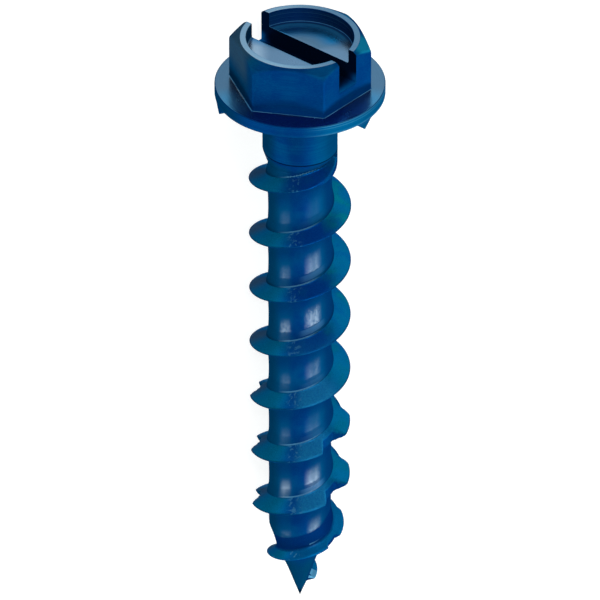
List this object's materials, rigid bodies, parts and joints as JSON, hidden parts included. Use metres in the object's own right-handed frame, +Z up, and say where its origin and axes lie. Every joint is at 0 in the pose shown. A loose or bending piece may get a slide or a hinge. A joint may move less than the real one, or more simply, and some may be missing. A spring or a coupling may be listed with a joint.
{
  "type": "concrete screw",
  "caption": "Blue-coated concrete screw: slotted hex washer head with a round recess, nibs under the flange, plain collar, coarse notched thread and a cone point.",
  "frame": {"origin": "on the floor, under the middle of the lying screw's bounding box", "axes": "+Z up from the floor the screw lies on, +Y along the screw toward its head, tilted up by the small angle at which it rests on its flange rim and a thread crest"},
  "size_m": [0.0086, 0.0352, 0.0087],
  "materials": {
    "coating": "satin blue corrosion coating over steel"
  },
  "bodies": {
    "root": {"screw": "coating"}
  },
  "joints": []
}
